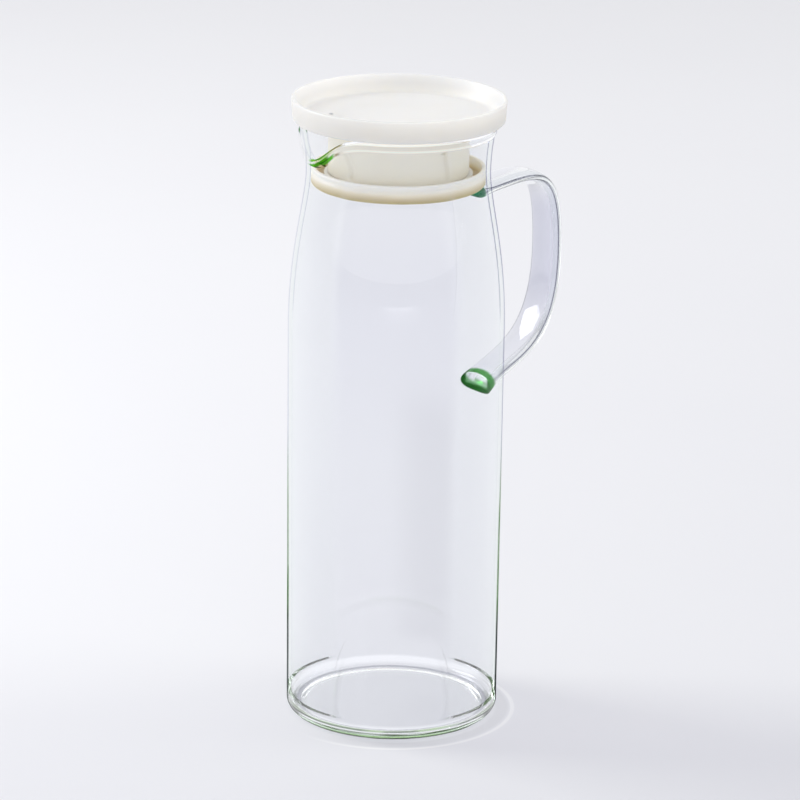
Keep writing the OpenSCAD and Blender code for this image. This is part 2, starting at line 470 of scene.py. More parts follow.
def new_group(
    name: str, takes: dict[str, float], gives: Sequence[str]
) -> tuple[bpy.types.NodeTree, Graph, Any, Any]:
    """An empty shader node group with named value sockets.

    Args:
        name: The group's name.
        takes: Its inputs and their default values.
        gives: Its outputs.

    Returns:
        The group, its tree wrapped for building, its input sockets and its output sockets.
    """
    tree = bpy.data.node_groups.new(name, "ShaderNodeTree")
    for key, value in takes.items():
        tree.interface.new_socket(key, in_out="INPUT", socket_type="NodeSocketFloat").default_value = value
    for key in gives:
        tree.interface.new_socket(key, in_out="OUTPUT", socket_type="NodeSocketFloat")
    entry = tree.nodes.new("NodeGroupInput").outputs
    end = tree.nodes.new("NodeGroupOutput").inputs
    return tree, Graph(tree), entry, end


class Effects:
    """Surface effects that several finishes share, each built once as a node group."""

    def __init__(self) -> None:
        """Builds the groups."""
        self.ripple = self._ripple()
        self.mottle = self._mottle()

    @staticmethod
    def _ripple() -> bpy.types.NodeTree:
        """Slow waves of worked glass, drawn out along Z.

        Returns:
            The group, with the inputs Scale and Draw and the output Height.
        """
        tree, g, entry, end = new_group("worked_glass_ripple", {"Scale": 40.0, "Draw": 0.3}, ["Height"])
        stretch = g.add("CombineXYZ", {"X": 1.0, "Y": 1.0, "Z": entry["Draw"]}).outputs[0]
        drawn = g.add("VectorMath", {"0": g.place(), "1": stretch}, operation="MULTIPLY").outputs[0]
        noise = g.add("TexNoise", {"Vector": drawn, "Scale": entry["Scale"], "Detail": 1.5, "Roughness": 0.4})
        tree.links.new(noise.outputs[0], end["Height"])
        return tree

    @staticmethod
    def _mottle() -> bpy.types.NodeTree:
        """Soft clouds and a fine grain, as on moulded or laid surfaces.

        Returns:
            The group, with the inputs Cloud Scale and Grain Scale and the outputs Clouds and Grain.
        """
        tree, g, entry, end = new_group(
            "soft_mottle", {"Cloud Scale": 60.0, "Grain Scale": 2500.0}, ["Clouds", "Grain"]
        )
        place = g.place()
        clouds = g.add("TexNoise", {"Vector": place, "Scale": entry["Cloud Scale"], "Detail": 3.0})
        grain = g.add("TexNoise", {"Vector": place, "Scale": entry["Grain Scale"], "Detail": 2.0})
        tree.links.new(clouds.outputs[0], end["Clouds"])
        tree.links.new(grain.outputs[0], end["Grain"])
        return tree


@dataclass(frozen=True)
class ClearGlass:
    """Clear fire-polished glass, with a painted dark reflection where it turns away, and a colour where it is
    thick.

    Attributes:
        name: The material's name.
        clear_colour: Its colour seen square on.
        veil_colour: Its colour seen at a slant.
        edge_colour: Painted reflection: the dark colour that it is given where it turns quite away, in place
            of the darker surroundings seen in its edges.
        edge_from: How far it has turned away where that colour starts, from 0 to 1.
        depth_colour: The colour of light that has gone far inside it.
        depth: How fast light takes on that colour inside it, per metre.
        ripple_scale: How close its waves lie.
        ripple_draw: How far the waves are drawn out along Z, where 1 is not at all.
        ripple_height: How high the waves stand.
    """

    name: str
    clear_colour: Colour = (0.95, 0.952, 0.968)
    veil_colour: Colour = (0.995, 0.995, 1.0)
    # painted reflection: a dark edge colour where the glass turns quite away
    edge_colour: Colour = (0.1, 0.11, 0.12)
    edge_from: float = 0.84
    depth_colour: Colour = (0.6, 0.9, 0.62)
    depth: float = 5.0
    ripple_scale: float = 30.0
    ripple_draw: float = 0.25
    ripple_height: float = 0.02 * MM

    LAMP_SHADE = (0.77, 0.76, 0.81)
    BOUNCE_EDGE = (0.75, 0.75, 0.78)
    SHADOW_EDGE = (0.42, 0.42, 0.5)

    def tinted(self, g: Graph, colour: Any) -> Any:
        """The colour with the painted shade, shadow and reflections that a piece lays on it; none here."""
        return colour

    def glow(self, g: Graph, facing: Socket) -> Any:
        """Painted light that the glass gives out, though it is no lamp; none here."""
        return BLACK

    def lines(self, g: Graph, facing: Socket) -> tuple[Any, Any]:
        """Where light goes straight on with a painted colour, such as painted reflection lines, and that
        colour; none here.
        """
        return 0.0, WHITE

    def build(self, effects: Effects) -> bpy.types.Material:
        """Builds the material.

        Args:
            effects: The shared node groups.

        Returns:
            The material.
        """
        material, g = new_material(self.name)
        waves = {"Scale": self.ripple_scale, "Draw": self.ripple_draw}
        height = g.add("Group", waves, node_tree=effects.ripple).outputs["Height"]
        bump = g.add("Bump", {"Height": height, "Strength": 1.0, "Distance": self.ripple_height})
        facing = g.add("LayerWeight", {"Blend": 0.5}).outputs["Facing"]
        colour = g.blend(g.ramp(facing, 0.1, 0.9), self.clear_colour, self.veil_colour)
        # painted reflection: the dark edge colour laid where the glass turns quite away
        colour = g.blend(g.ramp(facing, self.edge_from, 1.0), colour, self.edge_colour)
        # painted reflection lines and marks, where light goes straight on
        share, line_colour = self.lines(g, facing)
        glass = g.add(
            "BsdfPrincipled",
            {
                # painted shade, shadow and reflections laid on the glass's colour
                "Base Color": self.tinted(g, colour),
                "Roughness": 0.0,
                "Metallic": 0.0,
                "IOR": 1.5,
                "Transmission Weight": 1.0,
                # painted light: emitted highlights, though the glass is no lamp
                "Emission Color": self.glow(g, facing),
                "Emission Strength": 1.0,
                "Normal": bump.outputs[0],
            },
        )
        path = g.add("LightPath").outputs
        shadow = path["Is Shadow Ray"]
        passing = g.maths("MAXIMUM", shadow, path["Is Diffuse Ray"])
        lamp = g.times(shadow, g.ramp(g.parts()["Z"], 4 * MM, 8 * MM))
        dark = g.blend(shadow, self.BOUNCE_EDGE, self.SHADOW_EDGE)
        shade = g.blend(g.ramp(facing, 0.55, 1.0), g.blend(lamp, WHITE, self.LAMP_SHADE), dark)
        clear = g.add("BsdfTransparent", {"Color": g.blend(passing, line_colour, shade)})
        straight = g.maths("MAXIMUM", passing, share)
        mix = g.add("MixShader", {"0": straight, "1": glass.outputs[0], "2": clear.outputs[0]})
        absorb = g.add("VolumeAbsorption", {"Color": self.depth_colour, "Density": self.depth})
        g.add("OutputMaterial", {"Surface": mix.outputs[0], "Volume": absorb.outputs[0]})
        return material


@dataclass(frozen=True)
class VesselGlass(ClearGlass):
    """The jug's glass, with the marks that its edges, its lip and its heel leave on the light.

    Attributes:
        rim_z: Height of the middle of the rim's bead.
        half_angle: Angle from the middle of the lip to the round wall, in degrees.
        dip: How far the lip dips.
        body_r: Outside radius of the body.
        shoulder_z: Height at which the body starts to narrow.
        floor_r: Radius at which the floor inside turns up.
        floor_z: Height of the floor inside.
        heel_edge: Colour of the painted reflection line under the heel.
        dark_edge: Colour of the painted reflection line on the body's edge near the foot.
        green_edge: Colour of that painted line above.
        pale_edge: Colour of the painted line from there up, on the lip's side.
        violet_edge: Colour of the painted line from there up, on the handle's side.
    """

    # painted reflection: a grey edge colour where the jug's glass turns quite away
    edge_colour: Colour = (0.6, 0.6, 0.64)
    rim_z: float = 250 * MM
    half_angle: float = 38.0
    dip: float = 10 * MM
    body_r: float = 45 * MM
    shoulder_z: float = 170 * MM
    floor_r: float = 39.5 * MM
    floor_z: float = 3 * MM
    # painted reflection lines along the heel and the body's outline
    heel_edge: Colour = (0.07, 0.15, 0.03)
    dark_edge: Colour = (0.24, 0.26, 0.26)
    green_edge: Colour = (0.34, 0.47, 0.3)
    pale_edge: Colour = (0.85, 0.85, 0.9)
    violet_edge: Colour = (0.62, 0.61, 0.71)

    # painted shadow: a grey ring where the floor inside turns up, in place of the shade under the base
    FLOOR_RING = (0.34, 0.34, 0.4)
    # painted shade: greyer glass on the handle's side low down, and in a band up the body
    RIGHT_TINT, UPPER_TINT = (0.92, 0.92, 0.925), (0.98, 0.98, 0.99)
    # painted reflections: pale, green and dark along the heel's edge
    HEEL_PALE, HEEL_GREEN, HEEL_DARK = (0.92, 0.92, 0.94), (0.36, 0.66, 0.2), (0.02, 0.04, 0.02)
    HEEL_FROM_R, HEEL_FULL_R = 40.0 * MM, 40.6 * MM
    HEEL_GREEN_WAY, HEEL_DARK_WAY = (-0.87, -0.5, 0.0), (-0.63, -0.78, 0.0)
    # painted highlights: emitted light along the body's edges, in the floor's corner and on the rim
    SIDE_LIGHT, CORNER_LIGHT, RIM_LIGHT = 0.035, 0.09, 0.24
    # square and slant colours are the glass's own; the inner colour here and the bead colour below are
    # painted reflection lines
    SQUARE_PANE, SLANT_PANE, INNER_PANE = (0.978, 0.98, 0.987), (0.995, 0.995, 1.0), (0.86, 0.86, 0.9)
    BEAD_EDGE = (0.72, 0.72, 0.77)
    WALL_SHARE, SPOT_SHARE = 0.97, 0.97
    # painted reflections on the lip: olive, green and dark strands and a green spot
    OLIVE_LOW, OLIVE_HIGH = (0.2, 0.62, 0.03), (0.5, 0.44, 0.08)
    LEAF_GREEN, STRAND_DARK, SPOT_GREEN = (0.1, 0.52, 0.02), (0.05, 0.07, 0.04), (0.04, 0.24, 0.05)

    def tinted(self, g: Graph, colour: Any) -> Any:
        """The colour with painted light laid on by place: painted shade on the handle's side and up the body,
        a painted shadow ring where the floor inside turns up, and painted green and dark reflections along
        the heel.

        Args:
            g: The material's tree.
            colour: The glass's own colour.

        Returns:
            The colour with its painted shade, shadow and reflections.
        """
        parts, radius = g.parts(), g.radius()
        height = parts["Z"]
        # painted shade on the handle's side, low down the body
        right = g.times(g.ramp(parts["X"], 24 * MM, 38 * MM), g.ramp(height, 10 * MM, 20 * MM))
        right = g.times(right, g.ramp(height, 140 * MM, 110 * MM))
        # painted shade in a band up the body
        upper = g.times(g.ramp(height, 110 * MM, 165 * MM), g.ramp(height, 225 * MM, 200 * MM))
        tint = g.blend(upper, g.blend(right, WHITE, self.RIGHT_TINT), self.UPPER_TINT)
        # painted reflections along the heel: pale, green on the lip's side, dark patches at the front
        outside = g.ramp(radius, self.HEEL_FROM_R, self.HEEL_FULL_R)
        lip_side = g.ramp(g.along(self.HEEL_GREEN_WAY), 10 * MM, 30 * MM)
        heel = g.times(outside, g.ramp(height, 2.8 * MM, 2.2 * MM))
        tint = g.blend(heel, tint, g.blend(lip_side, self.HEEL_PALE, self.HEEL_GREEN))
        waves = g.add("TexNoise", {"Vector": g.place(), "Scale": 55.0}).outputs[0]
        patches = g.maths("MAXIMUM", g.ramp(waves, 0.42, 0.52), 0.25)
        near = g.ramp(g.along(self.HEEL_DARK_WAY), -25 * MM, 0.0)
        dark = g.times(g.band(height, 0.8 * MM, 1.1 * MM), outside, near, patches)
        # painted dark reflection in patches along the front of the heel
        tint = g.blend(dark, tint, self.HEEL_DARK)
        # painted shadow ring where the floor inside turns up
        ring = g.band(radius, self.floor_r - 0.2 * MM, 1.3 * MM)
        ring = g.times(ring, g.band(height, self.floor_z, 0.7 * MM))
        return g.blend(ring, g.dyed(colour, tint), self.FLOOR_RING)

    def glow(self, g: Graph, facing: Socket) -> Any:
        """Painted highlights: white light given out in the turned-up corner of the floor, along the body's
        edges and on the plain rim.

        Args:
            g: The material's tree.
            facing: How far the glass has turned away from the eye.

        Returns:
            The painted light's colour.
        """
        parts = g.parts()
        height = parts["Z"]
        side = g.times(g.ramp(facing, 0.5, 0.8), g.ramp(height, 6 * MM, 16 * MM))
        side = g.times(side, g.ramp(parts["X"], 25 * MM, -15 * MM))
        corner = g.ramp(g.radius(), self.floor_r + 0.6 * MM, self.floor_r + 1.4 * MM)
        corner = g.times(corner, g.band(height, self.floor_z + 2.0 * MM, 2.4 * MM))
        turn, below = self._rim(g)
        plain = g.maths("MAXIMUM", g.ramp(turn, -17.0, -21.0), g.ramp(turn, 38.0, 42.0))
        lower = g.times(g.band(below, 2.2 * MM, 0.6 * MM), 0.35)
        shine = g.times(g.maths("MAXIMUM", g.band(below, -0.8 * MM, 0.9 * MM), lower), plain)
        colour: Any = BLACK
        # painted highlights, laid as emitted light
        for mask, light in ((side, self.SIDE_LIGHT), (corner, self.CORNER_LIGHT), (shine, self.RIM_LIGHT)):
            colour = g.blend(mask, colour, (light, light, light))
        return colour

    def _rim(self, g: Graph) -> tuple[Socket, Socket]:
        """The place along the rim and its lip.

        Args:
            g: The material's tree.

        Returns:
            The angle from the middle of the lip in degrees, and the drop below the middle of the bead.
        """
        parts = g.parts()
        turn = g.maths("DEGREES", g.maths("ARCTAN2", parts["Y"], g.times(parts["X"], -1.0)))
        off = g.times(g.maths("ABSOLUTE", turn), math.pi / 2 / self.half_angle)
        drop = g.maths("POWER", g.maths("COSINE", g.maths("MINIMUM", off, math.pi / 2)), 6.0)
        return turn, g.maths("SUBTRACT", self.rim_z, g.maths("ADD", parts["Z"], g.times(drop, self.dip)))

    def _body_edge(self, g: Graph, facing: Socket) -> tuple[Any, Any]:
        """The painted reflection line along the jug's outer edge and along its heel.

        Args:
            g: The material's tree.
            facing: How far the glass has turned away from the eye.

        Returns:
            The line's share and its colour.
        """
        parts = g.parts()
        height = parts["Z"]
        heel = g.ramp(height, 2.0 * MM, 1.2 * MM)
        outer = g.ramp(g.radius(), self.body_r - 1.4 * MM, self.body_r - 1.0 * MM)
        for also in (g.ramp(height, self.shoulder_z, self.shoulder_z + 12 * MM), heel):
            outer = g.maths("MAXIMUM", outer, also)
        low = g.ramp(height, 120 * MM, 60 * MM)
        turn = g.maths("ADD", facing, g.maths("ADD", g.times(heel, 0.2), g.times(low, 0.035)))
        drawn = g.add("VectorMath", {"0": g.place(), "1": (1.0, 1.0, 0.6)}, operation="MULTIPLY")
        waves = g.add("TexNoise", {"Vector": drawn.outputs[0], "Scale": 42.0, "Detail": 2.0}).outputs[0]
        least = g.maths("SUBTRACT", 0.6, g.times(heel, 0.45))
        broken = g.maths("MAXIMUM", g.ramp(waves, 0.4, 0.56), least)
        share = g.times(g.ramp(turn, self.edge_from, self.edge_from + 0.06), outer, broken)
        # painted reflection lines: dark and green low down, pale and violet higher, dark green under the heel
        colour = g.blend(g.ramp(height, 35 * MM, 48 * MM), self.dark_edge, self.green_edge)
        upper = g.blend(g.ramp(parts["X"], -15 * MM, 15 * MM), self.pale_edge, self.violet_edge)
        colour = g.blend(g.ramp(height, 90 * MM, 125 * MM), colour, upper)
        return share, g.blend(heel, colour, self.heel_edge)

    def _pane(self, g: Graph, facing: Socket, bead: Socket) -> Socket:
        """The colour of light that goes straight on through the wall, with painted reflection lines on the
        inner face's outline and on the bead.

        Args:
            g: The material's tree.
            facing: How far the glass has turned away from the eye.
            bead: Where the bead of the rim is.

        Returns:
            The colour.
        """
        inner = g.ramp(g.radius(), self.body_r - 1.0 * MM, self.body_r - 1.4 * MM)
        inner = g.times(inner, g.ramp(facing, 0.93, 1.0))
        inner = g.times(inner, g.ramp(g.parts()["Z"], self.shoulder_z, self.shoulder_z - 8 * MM))
        pane = g.blend(g.ramp(facing, 0.3, 0.8), self.SQUARE_PANE, self.SLANT_PANE)
        # painted reflection line along the outline of the inner face
        pane = g.blend(inner, pane, self.INNER_PANE)
        # painted reflection line on the bead's outline
        return g.blend(bead, pane, g.blend(g.ramp(facing, 0.8, 0.97), WHITE, self.BEAD_EDGE))

    def lines(self, g: Graph, facing: Socket) -> tuple[Any, Any]:
        """Where light goes straight on: the wall turned from the eye, its painted edge lines, and the lip's
        painted reflection strands.

        Args:
            g: The material's tree.
            facing: How far the glass has turned away from the eye.

        Returns:
            Where light goes straight on, and the colour that it takes on there.
        """
        share, colour = self._body_edge(g, facing)
        turn, below = self._rim(g)
        bead = g.ramp(below, 3.8 * MM, 2.6 * MM)
        plain = g.maths("MAXIMUM", g.ramp(turn, -15.0, -20.0), g.ramp(turn, 40.0, 45.0))
        wall = g.times(g.ramp(facing, 0.15, 0.26), g.ramp(g.parts()["Z"], 8.0 * MM, 8.5 * MM))
        wall = g.times(wall, g.maths("SUBTRACT", 1.0, g.times(bead, plain)))
        colour = g.blend(share, self._pane(g, facing, bead), colour)
        share = g.maths("MAXIMUM", share, g.times(wall, self.WALL_SHARE))
        near = g.ramp(turn, 2.0, -1.0)
        olive = g.blend(g.ramp(turn, -7.0, -15.0), self.OLIVE_LOW, self.OLIVE_HIGH)
        # painted reflections: strands along the near side of the lip
        strands = (
            (g.band(below, -1.2 * MM, 0.7 * MM), -20.0, olive),
            (g.band(below, 1.0 * MM, 1.1 * MM), -13.0, self.LEAF_GREEN),
            (g.band(below, 2.0 * MM, 0.6 * MM), -5.0, self.STRAND_DARK),
        )
        for strand, end, strand_colour in strands:
            mask = g.times(near, g.ramp(turn, end, end + 3.0), strand)
            share, colour = g.lay(mask, 1.0, strand_colour, share, colour)
        # painted reflection: a green spot on the lip's far flank
        spot = g.times(g.band(below, 0.4 * MM, 1.6 * MM), g.band(turn, 27.0, 5.0))
        return g.lay(spot, self.SPOT_SHARE, self.SPOT_GREEN, share, colour)


@dataclass(frozen=True)
class HandleGlass(ClearGlass):
    """The strap's glass, with painted shade, painted reflection lines along its edges and a painted green
    reflection round each weld.

    Attributes:
        neck_r: Radius of the wall at the upper weld.
        body_r: Radius of the wall at the lower weld.
        split_z: A height between the two welds.
        foot_z: Height of the lower weld's lowest point.
        half_width: Half of the strap's width.
        line_colour: Colour of the painted reflection lines along its edges.
    """

    # painted shade: a darker lavender clear colour, in place of the darker surroundings that the strap bends
    # into view
    clear_colour: Colour = (0.84, 0.84, 0.9)
    veil_colour: Colour = WHITE
    # painted reflection: a grey-violet edge colour where the strap turns quite away
    edge_colour: Colour = (0.6, 0.6, 0.68)
    edge_from: float = 0.88
    ripple_scale: float = 60.0
    neck_r: float = 38 * MM
    body_r: float = 45 * MM
    split_z: float = 180 * MM
    foot_z: float = 128 * MM
    half_width: float = 9 * MM
    # painted reflection lines along the strap's edges
    line_colour: Colour = (0.32, 0.32, 0.4)

    # painted shade at the grip
    GRIP_TINT = (0.83, 0.83, 0.88)
    # painted reflections: green round the lower and the upper weld
    LOWER_GREEN, UPPER_GREEN = (0.03, 0.3, 0.03), (0.02, 0.3, 0.12)
    LINE_SHARE, WELD_SHARE = 0.6, 0.9

    def _weld(self, g: Graph) -> tuple[Any, Any]:
        """The painted green reflection round each weld, on the collar and on the border of the face that lies
        in the wall.

        Args:
            g: The material's tree.

        Returns:
            The painted reflection's mask and its colour.
        """
        parts = g.parts()
        height, width = parts["Z"], g.maths("ABSOLUTE", parts["Y"])
        upper = g.maths("GREATER_THAN", height, self.split_z)
        wall_r = g.maths("SUBTRACT", self.body_r, g.times(upper, self.body_r - self.neck_r))
        off = g.maths("SUBTRACT", g.radius(), wall_r)
        collar = g.times(g.ramp(off, 3.2 * MM, 1.6 * MM), g.ramp(off, -0.3 * MM, -0.1 * MM))
        low_end = g.ramp(height, self.foot_z + 3.0 * MM, self.foot_z + 1.5 * MM)
        sides = g.ramp(width, self.half_width - 2.6 * MM, self.half_width - 1.4 * MM)
        border = g.times(g.maths("MAXIMUM", low_end, sides), g.ramp(off, 0.1 * MM, -0.1 * MM))
        foot = g.maths("MAXIMUM", upper, g.ramp(height, self.foot_z + 15 * MM, self.foot_z + 9 * MM))
        # painted green reflection round each weld
        mask = g.times(g.maths("MAXIMUM", collar, border), foot)
        return mask, g.blend(upper, self.LOWER_GREEN, self.UPPER_GREEN)

    def tinted(self, g: Graph, colour: Any) -> Any:
        """Painted shade darker at the grip, no painted shade outside the lines of the edges, and a painted
        green reflection at the welds.

        Args:
            g: The material's tree.
            colour: The glass's own colour.

        Returns:
            The colour with its painted shade and reflections.
        """
        parts = g.parts()
        grip = g.times(g.ramp(parts["Z"], 222 * MM, 205 * MM), g.ramp(parts["Z"], 150 * MM, 175 * MM))
        # painted shade, darker at the grip
        colour = g.dyed(colour, g.blend(grip, WHITE, self.GRIP_TINT))
        width = g.maths("ABSOLUTE", parts["Y"])
        outside = g.ramp(width, self.half_width - 0.4 * MM, self.half_width - 0.2 * MM)
        mask, green = self._weld(g)
        # painted shade left off outside the edge lines; painted green reflection at the welds
        return g.blend(mask, g.blend(outside, colour, WHITE), green)

    def lines(self, g: Graph, facing: Socket) -> tuple[Any, Any]:
        """The painted reflection lines along the strap's edges, and the painted green reflection at the
        welds.

        Args:
            g: The material's tree.
            facing: How far the glass has turned away from the eye.

        Returns:
            Where light goes straight on, and the colour that it takes on there.
        """
        # painted reflection lines along the strap's edges
        edge = g.band(g.maths("ABSOLUTE", g.parts()["Y"]), self.half_width - 0.55 * MM, 0.38 * MM)
        share, colour = g.lay(edge, self.LINE_SHARE, self.line_colour, 0.0, WHITE)
        mask, green = self._weld(g)
        return g.lay(mask, self.WELD_SHARE, green, share, colour)


@dataclass(frozen=True)
class MouldedPlastic:
    """Milky white plastic, translucent, with painted shade on its rim and outside, a lower colour that is
    partly painted light, and clouds and a grain.

    Attributes:
        name: The material's name.
        top_z: Height where the upper colour is full.
        low_z: Height where the lower colour is full.
        colour: Its upper colour.
        low_colour: Its lower colour, partly its own warmer tone and partly painted light: brighter on the
            lid's plug, darker at the foot of the ring.
        wall_colour: Painted shade: what its rim leaves of the upper colour.
        wall_r: Radius from which that is so.
        outer_colour: Painted shade: what its outside leaves of the upper colour.
        outer_r: Radius from which that is so.
        cloud: What its clouds leave of the colour.
        roughness: Its roughness.
        glow: How much light passes just under its skin, from 0 to 1.
        reach: How far that light goes.
        grain_height: How high the grain stands.
    """

    name: str
    top_z: float
    low_z: float
    colour: Colour = (0.855, 0.84, 0.81)
    # partly the plastic's own warmer tone, partly painted light: brighter on the plug low down
    low_colour: Colour = (0.99, 0.905, 0.73)
    # painted shade: the rim and the outside are given darker colours than the dish
    wall_colour: Colour = (0.835, 0.85, 0.88)
    wall_r: float = 40.5 * MM
    outer_colour: Colour = (0.74, 0.75, 0.765)
    outer_r: float = 43.2 * MM
    cloud: Colour = (0.985, 0.98, 0.965)
    roughness: float = 0.42
    glow: float = 0.9
    reach: float = 12 * MM
    grain_height: float = 0.006 * MM

    ROUGH_SPREAD = 0.05
    SKIN_REACH = (1.0, 0.9, 0.75)

    def build(self, effects: Effects) -> bpy.types.Material:
        """Builds the material.

        Args:
            effects: The shared node groups.

        Returns:
            The material.
        """
        material, g = new_material(self.name)
        radius = g.radius()
        # painted shade on the rim
        wall = g.blend(g.ramp(radius, self.wall_r - 1 * MM, self.wall_r + 1 * MM), WHITE, self.wall_colour)
        outside = g.ramp(radius, self.outer_r - 0.3 * MM, self.outer_r + 0.3 * MM)
        # painted shade on the outside
        upper = g.dyed(self.colour, g.blend(outside, wall, self.outer_colour))
        # lower colour: partly own tone, partly painted light, brighter on the lid's plug and darker at the
        # ring's foot
        colour = g.blend(g.ramp(g.parts()["Z"], self.low_z, self.top_z), self.low_colour, upper)
        mottle = g.add("Group", node_tree=effects.mottle).outputs
        low, high = self.roughness - self.ROUGH_SPREAD, self.roughness + self.ROUGH_SPREAD
        rough = g.add("MapRange", {"Value": mottle["Clouds"], "To Min": low, "To Max": high})
        bump = g.add("Bump", {"Height": mottle["Grain"], "Strength": 1.0, "Distance": self.grain_height})
        plastic = g.add(
            "BsdfPrincipled",
            {
                "Base Color": g.dyed(colour, g.blend(mottle["Clouds"], WHITE, self.cloud)),
                "Roughness": rough.outputs["Result"],
                "IOR": 1.46,
                "Subsurface Weight": self.glow,
                "Subsurface Radius": self.SKIN_REACH,
                "Subsurface Scale": self.reach,
                "Normal": bump.outputs[0],
            },
        )
        g.add("OutputMaterial", {"Surface": plastic.outputs[0]})
        return material


@dataclass(frozen=True)
class SoftSilicone(MouldedPlastic):
    """Translucent silicone rubber, warmer and more matt than the lid, lightened by painted light and darkened
    towards its foot by painted shade.
    """

    # partly the silicone's own warm tone, partly painted light, lighter where the lid shades it
    colour: Colour = (0.99, 0.94, 0.84)
    wall_colour: Colour = WHITE
    # painted shade: darker towards the ring's foot
    low_colour: Colour = (0.51, 0.43, 0.21)
    roughness: float = 0.5
    reach: float = 3 * MM
    grain_height: float = 0.01 * MM


@dataclass(frozen=True)
class PaleFloor:
    """The plain pale floor that the jug stands on, with painted light: lighter to the left of the view and
    behind the jug.

    Attributes:
        name: The material's name.
        view: The direction of the photograph's view, as an angle in degrees.
        front_colour: Its colour in front of the jug.
        near_colour: Its colour round the jug.
        far_colour: Its colour far behind the jug.
        right_shade: What it loses to the right of the view.
        spread: How far to each side of the jug the shade runs.
        ring_r: Radius of the faint painted shadow and painted caustic ring round the jug's heel.
    """

    view: float
    name: str = "pale_floor"
    # painted light and shade: the floor is lighter behind the jug and to the left, darker in front and to the
    # right
    front_colour: Colour = (0.765, 0.768, 0.805)
    near_colour: Colour = (0.858, 0.86, 0.887)
    far_colour: Colour = (0.90, 0.90, 0.922)
    right_shade: Colour = (0.93, 0.93, 0.935)
    spread: float = 0.3
    ring_r: float = 50 * MM

    # painted shadow and painted caustic light: a ring round the heel on its lit side
    RING_WAY = (0.35, -0.94, 0.0)
    RING_DARK, RING_BRIGHT = 0.1, 0.5
    RING_COLOUR = (0.95, 0.95, 0.95)
    CLOUD = (0.985, 0.985, 0.99)

    def build(self, effects: Effects) -> bpy.types.Material:
        """Builds the material.

        Args:
            effects: The shared node groups.

        Returns:
            The material.
        """
        material, g = new_material(self.name)
        turn = math.radians(self.view)
        across = g.along((math.cos(turn), math.sin(turn), 0.0))
        away = g.along((-math.sin(turn), math.cos(turn), 0.0))
        # painted light: lighter behind the jug, darker in front
        colour = g.blend(g.ramp(away, -0.2, 0.1), self.front_colour, self.near_colour)
        colour = g.blend(g.ramp(away, 0.1, 1.4), colour, self.far_colour)
        # painted shade to the right of the view
        side = g.times(g.ramp(across, -self.spread, self.spread), g.ramp(away, 1.2, 0.2))
        colour = g.dyed(colour, g.blend(side, WHITE, self.right_shade))
        radius = g.add("VectorMath", {"0": g.place()}, operation="LENGTH").outputs["Value"]
        # painted shadow ring and painted caustic ring round the heel
        lit = g.ramp(g.along(self.RING_WAY), -20 * MM, 25 * MM)
        dark = g.times(g.band(radius, self.ring_r - 3 * MM, 4 * MM), lit, self.RING_DARK)
        bright = g.times(g.band(radius, self.ring_r + 1.5 * MM, 1.2 * MM), lit, self.RING_BRIGHT)
        colour = g.blend(bright, g.blend(dark, colour, BLACK), self.RING_COLOUR)
        mottle = g.add("Group", {"Cloud Scale": 6.0, "Grain Scale": 900.0}, node_tree=effects.mottle)
        colour = g.dyed(colour, g.blend(mottle.outputs["Clouds"], WHITE, self.CLOUD))
        surface = g.add("BsdfPrincipled", {"Base Color": colour, "Roughness": 0.7, "Specular IOR Level": 0.2})
        g.add("OutputMaterial", {"Surface": surface.outputs[0]})
        return material


def dress(
    obj: bpy.types.Object, material: bpy.types.Material, body: Body, nodes: Sequence[Node] = ()
) -> None:
    """Gives a piece its finish and its place in the frame.

    Args:
        obj: The piece.
        material: Its material.
        body: The body that it rides on.
        nodes: The frame's solids that it stands for.
    """
    obj.data.materials.append(material)
    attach(obj, body.value)
    if nodes:
        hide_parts(*(n.value for n in nodes))
    LOG.info("%s: %d faces on body %s", obj.name, len(obj.data.polygons), body.value)


